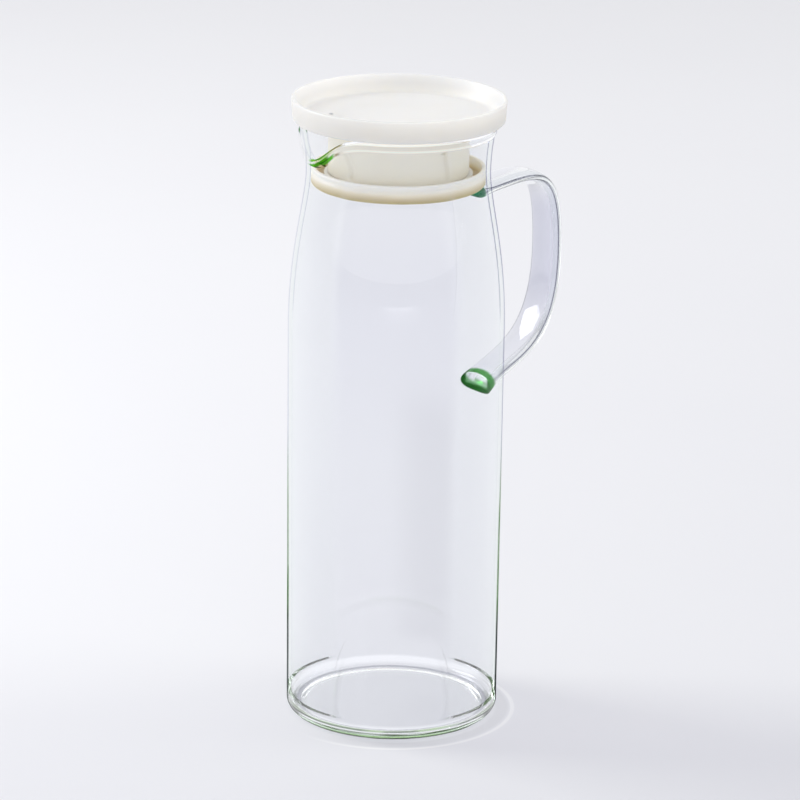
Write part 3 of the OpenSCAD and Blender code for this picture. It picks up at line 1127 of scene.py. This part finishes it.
@dataclass
class GlassVessel:
    """The blown jug: base, body, shoulder, neck, beaded rim and drawn-out lip, as one wall of glass.

    Attributes:
        taper: What the radius loses from the shoulder to the base.
        wall: Thickness of the wall.
        base_t: Thickness of the base.
        heel_r: Radius of the corner under the body.
        kick_r: Radius of the shallow hollow under the base.
        kick_h: Depth of that hollow.
        neck_r: Outside radius at the narrowest part of the neck.
        neck_drop: How far that part lies below the rim.
        shoulder_h: Height over which the shoulder narrows.
        rim_r: Outside radius of the rim.
        bead_t: Thickness of the bead on the rim.
        bead_h: Height of the bead.
        bead_ease: Height over which the wall thickens into it.
        lip_reach: How far the lip is drawn out.
        lip_dip: How far the lip dips.
        lip_half_angle: Angle from the middle of the lip to the round wall, in degrees.
        lip_drop: How far below the rim the lip leaves the neck.
        segments: How many sections there are round the axis.
    """

    taper: float = 0.5 * MM
    wall: float = 1.8 * MM
    base_t: float = 3 * MM
    heel_r: float = 5 * MM
    kick_r: float = 37.4 * MM
    kick_h: float = 0.7 * MM
    neck_r: float = 38 * MM
    neck_drop: float = 20.8 * MM
    shoulder_h: float = 66 * MM
    rim_r: float = 40.6 * MM
    bead_t: float = 2.8 * MM
    bead_h: float = 3.7 * MM
    bead_ease: float = 1.5 * MM
    lip_reach: float = 5.6 * MM
    lip_dip: float = 9.8 * MM
    lip_half_angle: float = 38.0
    lip_drop: float = 17.3 * MM
    segments: int = 240

    EASES = (0.5, 0.2)
    STRETCH = 2.4 * MM
    ARC_STEPS = 12
    SHOULDER_STEPS = 48
    WALL_STEPS = 36
    LIP_EASE = 1.6
    DIP_POWER = 3

    def __post_init__(self) -> None:
        """Works out the heights and curves that follow from the sizes."""
        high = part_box(Node.VESSEL.value)[1]
        self.body_r, self.top_z = high.y, high.z
        self.neck_z = self.top_z - self.neck_drop
        self.shoulder_z = self.neck_z - self.shoulder_h
        self.lip_z = self.top_z - self.lip_drop
        self.rim_mid_z = self.top_z - self.bead_t / 2
        self.neck_mid_r = self.neck_r - self.wall / 2
        self.rim_mid_r = self.rim_r - self.bead_t / 2
        out = self.rim_mid_r - self.neck_mid_r
        up = self.rim_mid_z - self.neck_z
        self.flare_bend = (up * up + out * out) / (2 * out)
        self.outside = self._side(Side.OUTER)
        self.inside = self._side(Side.INNER)

    def _shoulder_point(self, t: float) -> tuple[Vector, Vector]:
        """A point of the shoulder's outer face and the direction of that face.

        Args:
            t: How far up the shoulder the point is, from 0 to 1.

        Returns:
            The point and the direction.
        """
        low, high = self.EASES
        ends = (
            (self.body_r, self.shoulder_z),
            (self.body_r, self.shoulder_z + low * self.shoulder_h),
            (self.neck_r, self.neck_z - high * self.shoulder_h),
            (self.neck_r, self.neck_z),
        )
        return cubic(ends, t), cubic_way(ends, t)

    def flare_r(self, z: float) -> float:
        """Radius of the middle of the wall at a height above the neck."""
        return self.neck_mid_r + self.flare_bend - math.sqrt(self.flare_bend**2 - (z - self.neck_z) ** 2)

    def _side(self, side: Side) -> list[Point]:
        """The body's outline from the foot of its heel to the foot of the lip.

        Args:
            side: The face that is wanted.

        Returns:
            The outline's points, rising.
        """
        inset = 0 if side is Side.OUTER else self.wall
        base_r = self.body_r - self.taper
        heel = self.heel_r - inset
        foot = 0 if side is Side.OUTER else self.base_t
        points = arc((base_r - self.heel_r, foot + heel), heel, -90, 0, self.ARC_STEPS)
        for i in range(self.SHOULDER_STEPS + 1):
            place, way = self._shoulder_point(i / self.SHOULDER_STEPS)
            points.append((place.x - inset * way.y, place.y + inset * way.x))
        steps = 4
        for i in range(1, steps + 1):
            up = (i / steps - 1) * (self.lip_z - self.neck_z) / (self.rim_mid_z - self.lip_z)
            points.append(self._wall_point(0.0, up, side))
        return refined(points, self.STRETCH)

    def _wall_mid(self, pull: float, up: float) -> Vector:
        """The middle of the wall above the foot of the lip.

        Args:
            pull: The lip's share of its full pull there, from 0 to 1.
            up: How far up from the lip's foot to the bead, negative below the foot.

        Returns:
            The point.
        """
        z = self.lip_z + (self.rim_mid_z - self.lip_z) * up
        lifted = max(0.0, up)
        out = self.lip_reach * pull * lifted**self.LIP_EASE
        return Vector((self.flare_r(z) + out, z - self.lip_dip * pull**self.DIP_POWER * lifted))

    def _wall_frame(self, pull: float, up: float) -> tuple[Vector, Vector]:
        """The wall's direction and its outward normal at a point above the neck.

        Args:
            pull: The lip's share of its full pull there.
            up: How far up the point is.

        Returns:
            The direction and the normal.
        """
        step = 0.01
        way = (self._wall_mid(pull, up + step) - self._wall_mid(pull, up - step)).normalized()
        return way, Vector((way.y, -way.x))

    def _half_wall(self, up: float) -> float:
        """Half of the wall's thickness, which grows into the bead.

        Args:
            up: How far up from the lip's foot to the bead.

        Returns:
            Half of the thickness there.
        """
        below = (1 - up) * (self.rim_mid_z - self.lip_z)
        ease = smoothstep((self.bead_h - below) / self.bead_ease)
        return (self.wall + (self.bead_t - self.wall) * ease) / 2

    def _wall_point(self, pull: float, up: float, side: Side) -> Point:
        """A point of one face of the wall above the neck.

        Args:
            pull: The lip's share of its full pull there.
            up: How far up the point is.
            side: The face that it is on.

        Returns:
            The point's radius and height.
        """
        normal = self._wall_frame(pull, up)[1]
        place = self._wall_mid(pull, up) + side.value * self._half_wall(up) * normal
        return place.x, place.y

    def _top_section(self, angle: float) -> list[Point]:
        """The wall above the lip's foot: outer face, round bead, inner face.

        Args:
            angle: The angle about the axis, in radians.

        Returns:
            The points, up the outer face and down the inner.
        """
        off = abs(math.degrees(angle) % 360 - 180)
        inside = off < self.lip_half_angle
        pull = math.cos(math.radians(90 * off / self.lip_half_angle)) ** 2 if inside else 0.0
        ups = [i / self.WALL_STEPS for i in range(1, self.WALL_STEPS + 1)]
        way, normal = self._wall_frame(pull, 1.0)
        middle = self._wall_mid(pull, 1.0)
        bead = [
            tuple(middle + self._half_wall(1.0) * (math.cos(a) * normal + math.sin(a) * way))
            for a in (math.pi * i / self.ARC_STEPS for i in range(1, self.ARC_STEPS))
        ]
        outer = [self._wall_point(pull, up, Side.OUTER) for up in ups]
        inner = [self._wall_point(pull, up, Side.INNER) for up in reversed(ups)]
        return outer + bead + inner

    def _section(self, angle: float) -> list[Point]:
        """The whole wall's section at an angle about the axis.

        Args:
            angle: The angle, in radians.

        Returns:
            The section's points, from the axis under the base round to the axis on the floor.
        """
        foot_r = self.outside[0][0]
        corners = [
            Corner(0, self.kick_h),
            Corner(self.kick_r - 2 * self.kick_h, self.kick_h, 4 * self.kick_h),
            Corner(self.kick_r + 2 * self.kick_h, 0, 4 * self.kick_h),
            Corner(foot_r, 0),
        ]
        under = refined(rounded(corners, self.ARC_STEPS), self.STRETCH)
        floor = refined([(self.inside[0][0], self.base_t), (0, self.base_t)], self.STRETCH)
        return under[:-1] + self.outside + self._top_section(angle) + self.inside[::-1] + floor[1:]

    def glass(self, name: str) -> VesselGlass:
        """The jug's glass, fitted to its rim and lip.

        Args:
            name: The material's name.

        Returns:
            The finish.
        """
        return VesselGlass(
            name,
            rim_z=self.rim_mid_z,
            half_angle=self.lip_half_angle,
            dip=self.lip_dip,
            body_r=self.body_r,
            shoulder_z=self.shoulder_z,
            floor_r=self.inside[0][0],
            floor_z=self.base_t,
        )

    def build(self, material: bpy.types.Material) -> bpy.types.Object:
        """Builds and dresses the jug.

        Args:
            material: Its glass.

        Returns:
            The piece.
        """
        obj = turned("jug_glass", self._section, self.segments)
        dress(obj, material, Body.VESSEL, [Node.VESSEL])
        return obj


@dataclass
class StrapHandle:
    """The flattened glass strap, swept from the neck round the grip to the body and welded at both.

    Attributes:
        vessel: The jug that it is welded to.
        width: Width of the strap.
        thickness: Thickness of the strap.
        grip_z: Height of the furthest point of the grip.
        root_z: Height at which the strap leaves the neck.
        root_rise: Slope at which it leaves the neck, in degrees.
        foot_z: Height at which the strap meets the body.
        foot_rise: Slope at which it climbs from the body, in degrees.
        leads: Lengths of the curve's leads at the root, above the grip, below it and at the foot.
        swell: How much the strap swells at a weld.
        swell_length: Distance from the wall over which it swells.
        weld_depth: How far each end lies inside the face of the wall.
        fullness: Fullness of its section, where 2 is an ellipse.
    """

    vessel: GlassVessel
    width: float = 18 * MM
    thickness: float = 4.8 * MM
    grip_z: float = 190 * MM
    root_z: float = 220 * MM
    root_rise: float = 6.0
    foot_z: float = 133 * MM
    foot_rise: float = 48.0
    leads: tuple[float, float, float, float] = (32 * MM, 43 * MM, 49 * MM, 18 * MM)
    swell: float = 0.7 * MM
    swell_length: float = 7 * MM
    weld_depth: float = 0.4 * MM
    fullness: float = 2.15

    SINK_SHARE = 1.8
    STATIONS = 150
    SIDES = 64
    CAP_RINGS = 8

    def __post_init__(self) -> None:
        """Works out the control points of the strap's middle line."""
        sink = self.SINK_SHARE * self.vessel.wall
        root = Vector((self.vessel.neck_r - sink, self.root_z))
        foot = Vector((self.vessel.body_r - sink, self.foot_z))
        grip = Vector((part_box(Node.HANDLE.value)[1].x - self.thickness / 2, self.grip_z))
        out, over, under, back = self.leads
        rise, climb = math.radians(self.root_rise), math.radians(self.foot_rise)
        self.upper = (
            root,
            root + out * Vector((math.cos(rise), math.sin(rise))),
            grip + Vector((0, over)),
            grip,
        )
        self.lower = (
            grip,
            grip - Vector((0, under)),
            foot + back * Vector((math.cos(climb), math.sin(climb))),
            foot,
        )

    def _point(self, t: float, around: float) -> Vector:
        """A point of the strap's surface.

        Args:
            t: How far along the strap it is, from 0 at the neck to 2 at the body.
            around: Its angle round the section, in radians.

        Returns:
            The point.
        """
        ends, share = (self.upper, t) if t <= 1 else (self.lower, t - 1)
        middle, way = cubic(ends, share), cubic_way(ends, share)
        wall_r = self.vessel.neck_r + self.vessel.wall if t <= 1 else self.vessel.body_r
        near = min(1.0, max(0.0, 1 - (middle.x - wall_r) / self.swell_length))
        swell = self.swell * near * near
        up = (self.thickness / 2 + swell) * self._fuller(math.sin(around))
        across = (self.width / 2 + swell) * self._fuller(math.cos(around))
        return Vector((middle.x - way.y * up, across, middle.y + way.x * up))

    def _fuller(self, value: float) -> float:
        """A sine or cosine bent outward to the section's fullness."""
        return math.copysign(abs(value) ** (2 / self.fullness), value)

    def _seat_r(self, z: float) -> float:
        """Distance from the axis at which an end of the strap lies, at a height."""
        return radius_at(self.vessel.outside, z) - self.weld_depth

    def _seated(self, point: Vector) -> Vector:
        """The point moved radially onto the seat of an end."""
        scale = self._seat_r(point.z) / math.hypot(point.x, point.y)
        return Vector((point.x * scale, point.y * scale, point.z))

    def _crossing(self, around: float, inside: float, outside: float) -> float:
        """Where a line along the strap passes the seat.

        Args:
            around: The line's angle round the section.
            inside: A place along the strap where the line is inside the wall.
            outside: A place where it is outside.

        Returns:
            The place along the strap.
        """
        for _ in range(40):
            middle = (inside + outside) / 2
            p = self._point(middle, around)
            if math.hypot(p.x, p.y) < self._seat_r(p.z):
                inside = middle
            else:
                outside = middle
        return outside

    def build(self, material: bpy.types.Material) -> bpy.types.Object:
        """Builds and dresses the handle.

        Args:
            material: Its glass.

        Returns:
            The piece.
        """
        rounds = [2 * math.pi * (k + 0.5) / self.SIDES for k in range(self.SIDES)]
        starts = [self._crossing(a, 0.0, 0.5) for a in rounds]
        ends = [self._crossing(a, 2.0, 1.5) for a in rounds]
        rings = []
        for i in range(self.STATIONS + 1):
            s = i / self.STATIONS
            rings.append([self._point(t0 + (t1 - t0) * s, a) for a, t0, t1 in zip(rounds, starts, ends)])
        rings = self._cap(rings[0])[::-1] + rings + self._cap(rings[-1])
        points = [p for ring in rings for p in ring]
        faces: list[tuple[int, ...]] = []
        for i in range(len(rings) - 1):
            for k in range(self.SIDES):
                j = (k + 1) % self.SIDES
                here, there = i * self.SIDES, (i + 1) * self.SIDES
                faces.append((here + k, here + j, there + j, there + k))
        for ring, start in ((rings[0], 0), (rings[-1], (len(rings) - 1) * self.SIDES)):
            points.append(self._seated(sum(ring, Vector()) / self.SIDES))
            faces += [(len(points) - 1, start + k, start + (k + 1) % self.SIDES) for k in range(self.SIDES)]
        obj = new_piece("strap_handle_glass", points, faces)
        dress(obj, material, Body.VESSEL, [Node.HANDLE])
        return obj

    def _cap(self, ring: Sequence[Vector]) -> list[list[Vector]]:
        """Rings that close an end over its seat, from the outer ring inward.

        Args:
            ring: The end's own ring.

        Returns:
            The smaller rings inside it.
        """
        centre = sum(ring, Vector()) / len(ring)
        shares = [1 - i / self.CAP_RINGS for i in range(1, self.CAP_RINGS)]
        return [[self._seated(centre + (p - centre) * share) for p in ring] for share in shares]


@dataclass
class PushLid:
    """The plastic lid: a shallow dish with a raised rim over a hollow plug with a ring groove.

    Attributes:
        foot_r: Radius at the underside.
        dish_r: Radius of the flat floor of the dish.
        floor_t: Thickness of that floor.
        edge_t: Thickness of the rim at its top edge.
        corner_r: Radius of the corner under the rim.
        plug_r: Outside radius of the plug.
        plug_wall: Thickness of the plug's wall.
        plug_l: Length of the plug below the underside.
        plug_lip_h: Height of the lip below the groove.
        groove_t: Depth of the groove.
        groove_top_z: Height of the top of the groove above the plug's end.
        gate_r: Radius of the small moulding mark on the floor.
        gate_at: Where the mark is on the floor.
    """

    foot_r: float = 43.6 * MM
    dish_r: float = 38.25 * MM
    floor_t: float = 2.2 * MM
    edge_t: float = 1.5 * MM
    corner_r: float = 1.3 * MM
    plug_r: float = 29 * MM
    plug_wall: float = 1.8 * MM
    plug_l: float = 27.8 * MM
    plug_lip_h: float = 0.8 * MM
    groove_t: float = 0.7 * MM
    groove_top_z: float = 6.4 * MM
    gate_r: float = 0.85 * MM
    gate_at: Point = (-22 * MM, 17 * MM)

    SEGMENTS = 256
    STRETCH = 1.5 * MM

    def _section(self) -> list[Point]:
        """The lid's half section.

        Returns:
            The section's points, from the axis inside the plug round to the axis on the floor.
        """
        low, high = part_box(Node.LID.value)
        end_z, top_z, top_r = low.z, high.z, high.x
        under_z = end_z + self.plug_l
        floor_z = under_z + self.floor_t
        groove_r = self.plug_r - self.groove_t
        bore_r = groove_r - self.plug_wall
        groove_z = end_z + self.groove_top_z
        soft = 0.25 * MM
        corners = [
            Corner(0, under_z),
            Corner(bore_r, under_z, 2.4 * soft),
            Corner(bore_r, end_z, soft),
            Corner(self.plug_r, end_z, self.plug_wall / 3),
            Corner(self.plug_r, end_z + self.plug_lip_h, soft / 2),
            Corner(groove_r, end_z + self.plug_lip_h, soft / 2),
            Corner(groove_r, groove_z, soft / 2),
            Corner(self.plug_r, groove_z, soft / 2),
            Corner(self.plug_r, under_z, 3 * soft),
            Corner(self.foot_r, under_z, self.corner_r),
            Corner(top_r, top_z, self.edge_t * 0.46),
            Corner(top_r - self.edge_t, top_z, self.edge_t * 0.46),
            Corner(self.dish_r + 1.3 * MM, floor_z, 2 * MM),
            Corner(0, floor_z),
        ]
        return refined(rounded(corners, 10), self.STRETCH)

    def _gate_section(self) -> list[Point]:
        """Half section of the flat round mark that the mould's gate leaves.

        Returns:
            The section's points, from the axis in the floor to the axis above it.
        """
        floor_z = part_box(Node.LID.value)[0].z + self.plug_l + self.floor_t
        sunk, proud = 0.3 * MM, 0.22 * MM
        corners = [
            Corner(0, floor_z - sunk),
            Corner(self.gate_r, floor_z - sunk),
            Corner(self.gate_r, floor_z + proud, 0.15 * MM),
            Corner(0.5 * self.gate_r, floor_z + proud, 0.1 * MM),
            Corner(0, floor_z + proud / 3),
        ]
        return rounded(corners, 5)

    def build(self, material: bpy.types.Material) -> bpy.types.Object:
        """Builds and dresses the lid and its moulding mark.

        Args:
            material: Its plastic.

        Returns:
            The lid.
        """
        section = self._section()
        obj = turned("lid_moulding", lambda angle: section, self.SEGMENTS)
        dress(obj, material, Body.LID, [Node.LID])
        gate_section = self._gate_section()
        gate = turned("lid_gate_mark", lambda angle: gate_section, 32)
        gate.data.transform(Matrix.Translation((*self.gate_at, 0)))
        dress(gate, material, Body.LID)
        return obj


@dataclass
class SealRing:
    """The soft cup ring: a collar in the plug's groove, a web, and an upright lip that meets the neck.

    Attributes:
        lip_t: Thickness of the outer lip.
        web_t: Thickness of the web.
        collar_h: Height of the collar.
        collar_t: Thickness of the collar.
        collar_r: Inside radius of the collar.
        corner_r: Radius of the corner under the outer lip.
        waist_t: Depth of the waist outside, under the edge of the outer lip.
        waist_h: Height of that waist.
    """

    lip_t: float = 1.6 * MM
    web_t: float = 2.2 * MM
    collar_h: float = 5 * MM
    collar_t: float = 2 * MM
    collar_r: float = 28.6 * MM
    corner_r: float = 1.4 * MM
    waist_t: float = 0.6 * MM
    waist_h: float = 2.6 * MM

    SEGMENTS = 256

    def _section(self) -> list[Point]:
        """The ring's closed half section.

        Returns:
            The section's points, with the first not repeated at the end.
        """
        low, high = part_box(Node.GASKET.value)
        foot_z, top_z, ring_r = low.z, high.z, high.x
        soft = 0.3 * MM
        waist_top_z = top_z - self.lip_t / 2
        corners = [
            Corner(self.collar_r + soft, foot_z),
            Corner(ring_r, foot_z, self.corner_r),
            Corner(ring_r, waist_top_z - self.waist_h, 2 * soft),
            Corner(ring_r - self.waist_t, waist_top_z - self.waist_h / 2, 4 * soft),
            Corner(ring_r, waist_top_z, soft),
            Corner(ring_r, top_z, self.lip_t * 0.45),
            Corner(ring_r - self.lip_t, top_z, self.lip_t * 0.45),
            Corner(ring_r - self.lip_t, foot_z + self.web_t, 2 * soft),
            Corner(self.collar_r + self.collar_t, foot_z + self.web_t, 2 * soft),
            Corner(self.collar_r + self.collar_t, foot_z + self.collar_h, soft),
            Corner(self.collar_r, foot_z + self.collar_h, soft),
            Corner(self.collar_r, foot_z, soft),
            Corner(self.collar_r + soft, foot_z),
        ]
        return refined(rounded(corners, 10), 1.2 * MM)[:-1]

    def build(self, material: bpy.types.Material) -> bpy.types.Object:
        """Builds and dresses the ring.

        Args:
            material: Its silicone.

        Returns:
            The piece.
        """
        section = self._section()
        obj = turned("seal_ring", lambda angle: section, self.SEGMENTS)
        dress(obj, material, Body.GASKET, [Node.GASKET])
        return obj


@dataclass(frozen=True)
class SoftBox:
    """A large soft lamp.

    Attributes:
        name: The lamp's name.
        place: Where it is.
        aim: What it points at.
        size: Its width and height.
        power: Its power in watts.
        seen: Whether it shows in what is glossy or clear.
    """

    name: str
    place: tuple[float, float, float]
    aim: tuple[float, float, float]
    size: tuple[float, float]
    power: float
    seen: bool = True

    def build(self) -> None:
        """Puts the lamp in the scene."""
        data = bpy.data.lights.new(self.name, "AREA")
        data.shape = "RECTANGLE"
        data.size, data.size_y = self.size
        data.energy = self.power
        lamp = bpy.data.objects.new(self.name, data)
        lamp.location = self.place
        lamp.visible_camera = False
        lamp.visible_glossy = self.seen
        lamp.visible_transmission = self.seen
        lamp.rotation_mode = "QUATERNION"
        lamp.rotation_quaternion = (Vector(self.aim) - Vector(self.place)).to_track_quat("-Z", "Y")
        bpy.context.scene.collection.objects.link(lamp)


@dataclass
class Studio:
    """The pale floor, the soft light and the camera.

    Attributes:
        floor_r: Radius of the floor.
        azimuth: The camera's angle about the jug, in degrees, where 0 looks along +Y.
        distance: The camera's distance from the jug's axis.
        height: The camera's height above the floor.
        pitch: How far the camera looks down, in degrees.
        pan: How far it is turned to its right of the axis, in degrees.
        roll: How far the camera leans to its left, in degrees, which leans the jug to the right.
        lens: Its focal length on a sensor 36 wide.
    """

    floor_r: float = 9.0
    azimuth: float = -39.0
    distance: float = 1.791
    height: float = 0.687
    pitch: float = 17.11
    pan: float = 0.0625
    roll: float = 0.8
    lens: float = 202.32

    LAMPS = (
        SoftBox("window_softbox", (-0.733, 1.154, 0.95), (0.0, 0.0, 0.1), (0.7, 0.9), 12.0),
        SoftBox("side_softbox", (1.21, -0.73, 1.2), (0.0, 0.0, 0.15), (1.0, 1.0), 4.5),
        SoftBox("front_softbox", (-1.0, -1.45, 0.35), (0.0, 0.0, 0.24), (0.9, 0.7), 6.5, seen=False),
    )

    def _floor(self, material: bpy.types.Material) -> None:
        """Lays the floor as a wide closed slab under the jug.

        Args:
            material: The floor's finish.
        """
        thick = 0.02
        section = refined([(0, -thick), (self.floor_r, -thick), (self.floor_r, 0), (0, 0)], self.floor_r / 12)
        floor = turned("studio_floor", lambda angle: section, 96)
        floor.data.materials.append(material)
        floor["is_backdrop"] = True

    def _world(self) -> None:
        """Lights the scene from all round, and shows as a pale surround where it is seen."""
        world = bpy.data.worlds.new("studio_surround")
        bpy.context.scene.world = world
        world.use_nodes = True
        world.node_tree.nodes.clear()
        g = Graph(world.node_tree)
        path = g.add("LightPath")
        seen = g.maths("MAXIMUM", path.outputs["Is Glossy Ray"], path.outputs["Is Transmission Ray"])
        seen = g.maths("MAXIMUM", seen, path.outputs["Is Camera Ray"])
        light = g.add("Background", {"Color": (0.98, 0.985, 1.0, 1.0), "Strength": 0.75})
        show = g.add("Background", {"Color": (0.99, 0.99, 1.0, 1.0), "Strength": 1.0})
        mix = g.add("MixShader", {"0": seen, "1": light.outputs[0], "2": show.outputs[0]})
        g.add("OutputWorld", {"Surface": mix.outputs[0]})

    def _camera(self) -> None:
        """Sets the camera at the photograph's viewing angle."""
        turn, down = math.radians(self.azimuth), math.radians(self.pitch)
        right = Vector((math.cos(turn), math.sin(turn), 0))
        level = Vector((-math.sin(turn), math.cos(turn), 0))
        data = bpy.data.cameras.new("photo_camera")
        data.lens, data.sensor_width = self.lens, 36.0
        data.clip_start, data.clip_end = 0.05, 40.0
        camera = bpy.data.objects.new("photo_camera", data)
        camera.location = -self.distance * level + Vector((0, 0, self.height))
        swing = math.radians(self.pan)
        level, right = (
            math.cos(swing) * level + math.sin(swing) * right,
            math.cos(swing) * right - math.sin(swing) * level,
        )
        ahead = math.cos(down) * level - Vector((0, 0, math.sin(down)))
        up = right.cross(ahead)
        lean = math.radians(self.roll)
        across = math.cos(lean) * right + math.sin(lean) * up
        top = -math.sin(lean) * right + math.cos(lean) * up
        camera.rotation_mode = "QUATERNION"
        camera.rotation_quaternion = Matrix((across, top, -ahead)).transposed().to_quaternion()
        bpy.context.scene.collection.objects.link(camera)
        bpy.context.scene.camera = camera

    def build(self, effects: Effects) -> None:
        """Builds the studio.

        Args:
            effects: The shared node groups.
        """
        self._floor(PaleFloor(self.azimuth).build(effects))
        self._world()
        for lamp in self.LAMPS:
            lamp.build()
        self._camera()
        bpy.context.scene.view_settings.view_transform = "Standard"


def note_sizes() -> None:
    """Writes the frame's box and the visible model's box."""
    boxes = {"cad": CAD_BOX, "visual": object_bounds()}
    for name, box in boxes.items():
        LOG.info("%s box %s", name, [tuple(round(v, 5) for v in corner) for corner in box])


def main() -> None:
    """Builds the jug, its handle, lid and ring, and the studio round them."""
    logging.basicConfig(level=logging.INFO, format="%(message)s")
    effects = Effects()
    Studio().build(effects)
    vessel = GlassVessel()
    vessel.build(vessel.glass("vessel_clear_glass").build(effects))
    foot_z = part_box(Node.HANDLE.value)[0].z
    radii = {"neck_r": vessel.neck_r, "body_r": vessel.body_r}
    handle_glass = HandleGlass("handle_clear_glass", foot_z=foot_z, **radii)
    StrapHandle(vessel).build(handle_glass.build(effects))
    lid_top_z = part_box(Node.LID.value)[1].z
    lid_plastic = MouldedPlastic("lid_milky_plastic", lid_top_z - 9 * MM, lid_top_z - 14 * MM)
    PushLid().build(lid_plastic.build(effects))
    ring_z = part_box(Node.GASKET.value)[0].z
    SealRing().build(SoftSilicone("ring_soft_silicone", ring_z + 6 * MM, ring_z).build(effects))
    note_sizes()


if __name__ == "__main__":
    main()
